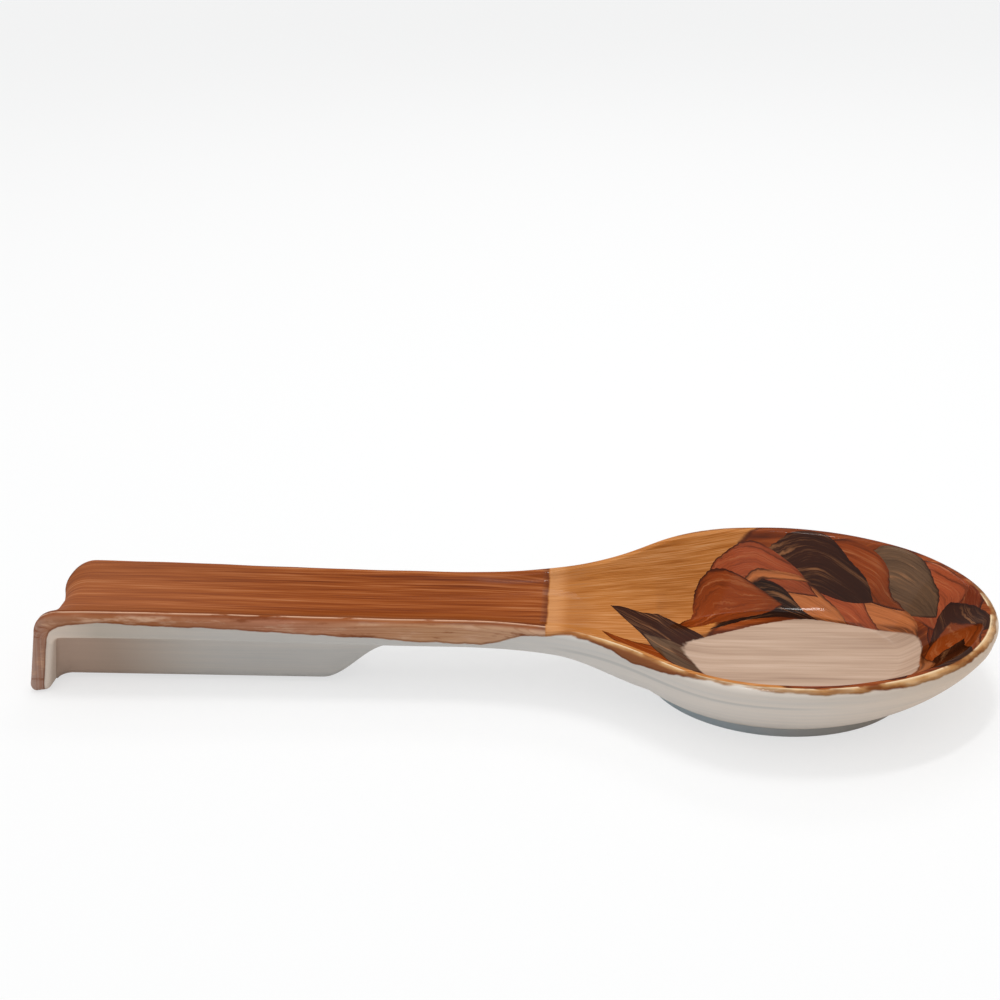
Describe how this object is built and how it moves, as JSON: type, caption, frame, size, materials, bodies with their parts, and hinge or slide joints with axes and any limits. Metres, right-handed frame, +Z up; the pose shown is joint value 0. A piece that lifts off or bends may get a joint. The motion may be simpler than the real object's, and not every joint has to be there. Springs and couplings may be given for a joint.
{
  "type": "spoon rest",
  "caption": "Spoon-shaped glazed ceramic rest: oval bowl on a low foot ring, flared neck, trough handle turned down into a leg, with a keel beneath.",
  "frame": {"origin": "on the table plane, under the middle of the overall length and width", "axes": "+X from the handle's leg towards the tip of the bowl, +Y to the left of the bowl seen from the handle, +Z up"},
  "size_m": [0.2701, 0.0932, 0.0258],
  "materials": {
    "painted_glaze": "brushed wood-look underglaze colours under a clear gloss glaze",
    "white_glaze": "white gloss glaze",
    "grey_glaze": "thin grey-white glaze, less glossy"
  },
  "bodies": {
    "root": {"bowl": "painted_glaze", "neck": "painted_glaze", "handle_tray": "painted_glaze", "end_leg": "painted_glaze", "handle_keel": "white_glaze", "foot_ring": "grey_glaze"}
  },
  "joints": []
}
